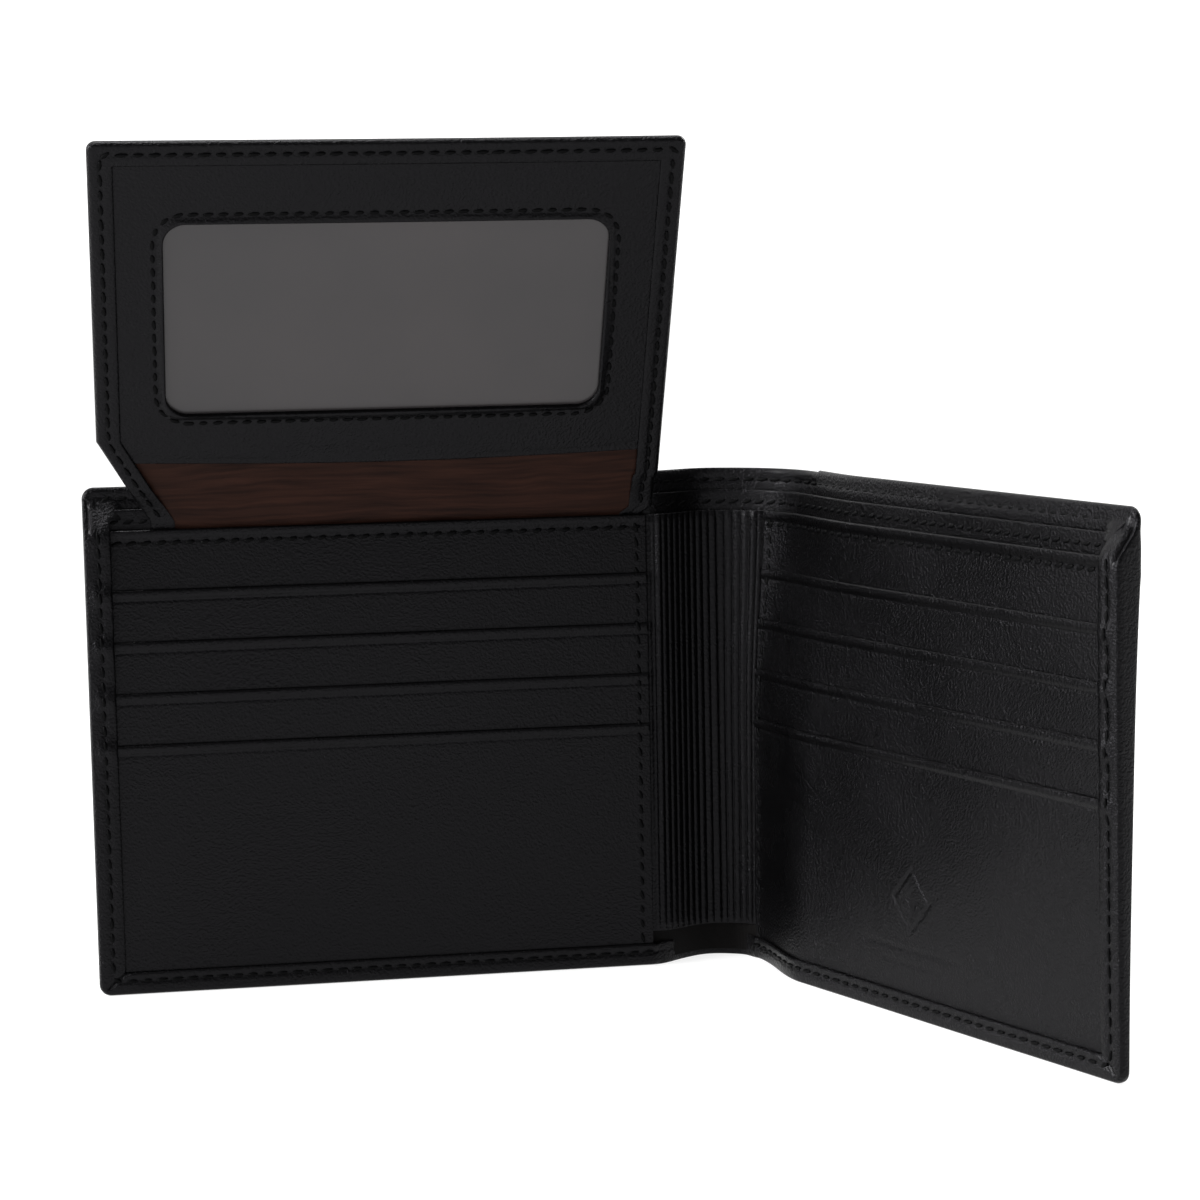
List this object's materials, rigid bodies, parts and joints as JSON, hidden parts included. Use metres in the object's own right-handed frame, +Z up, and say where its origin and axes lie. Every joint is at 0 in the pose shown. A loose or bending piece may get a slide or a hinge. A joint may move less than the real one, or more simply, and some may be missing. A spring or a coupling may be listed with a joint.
{
  "type": "bifold wallet",
  "caption": "Leather bifold wallet with a ribbed gusset spine, stepped card pockets on both halves, a divided note compartment and a flip-up window flap; stands half open.",
  "frame": {"origin": "on the standing face, at the foot of the spine leather's middle", "axes": "+X along the left half towards the spine, +Y behind the wallet, +Z up"},
  "size_m": [0.1683, 0.1073, 0.1573],
  "materials": {
    "shell_leather": "semi-gloss fine grain",
    "pocket_leather": "semi-gloss fine grain, thin",
    "lining_fabric": "dull woven",
    "satin_lining": "brown moire satin",
    "stiffener_board": "bonded leather fibre, hidden",
    "window_film": "clear flexible film, slightly milky",
    "thread": "waxed black thread"
  },
  "bodies": {
    "left_half": {"shell_left": "shell_leather", "stiffener_left": "stiffener_board", "lining_left": "lining_fabric", "divider_left": "lining_fabric", "divider_trim_left": "pocket_leather", "card_backing_left": "pocket_leather", "card_pocket_left_1": "pocket_leather", "card_pocket_left_2": "pocket_leather", "card_pocket_left_3": "pocket_leather", "card_pocket_left_4": "pocket_leather", "seam_shell_left": "thread", "seam_card_left": "thread", "flap_tongue": "shell_leather"},
    "spine": {"shell_spine": "shell_leather", "lining_spine": "lining_fabric", "divider_spine": "lining_fabric", "divider_trim_spine": "pocket_leather", "ribbed_gusset": "shell_leather"},
    "right_half": {"shell_right": "shell_leather", "stiffener_right": "stiffener_board", "lining_right": "lining_fabric", "divider_right": "lining_fabric", "divider_trim_right": "pocket_leather", "card_backing_right": "pocket_leather", "card_pocket_right_1": "pocket_leather", "card_pocket_right_2": "pocket_leather", "card_pocket_right_3": "pocket_leather", "card_pocket_right_4": "pocket_leather", "seam_shell_right": "thread", "seam_card_right": "thread"},
    "flap": {"flap_back": "shell_leather", "flap_lining": "satin_lining", "flap_window_panel": "pocket_leather", "flap_window_film": "window_film", "flap_hem": "shell_leather", "seam_flap": "thread", "seam_window": "thread"}
  },
  "joints": [
    {"name": "spine_left_fold", "type": "hinge", "parent": "left_half", "child": "spine", "pos_m": [-0.00832, -0.004, 0], "axis": [0, 0, -1], "range_deg": [-8, 98], "deforming": ["ribbed_gusset", "divider_spine", "divider_trim_spine"]},
    {"name": "spine_right_fold", "type": "hinge", "parent": "spine", "child": "right_half", "pos_m": [0.0091, -0.00155, 0], "axis": [0, 0, -1], "range_deg": [-77, 13], "deforming": ["ribbed_gusset", "divider_spine", "divider_trim_spine"]},
    {"name": "flap_fold", "type": "hinge", "parent": "left_half", "child": "flap", "pos_m": [-0.06, -0.00887, 0.0875], "axis": [1, 0, 0], "range_deg": [-27, 153]}
  ]
}
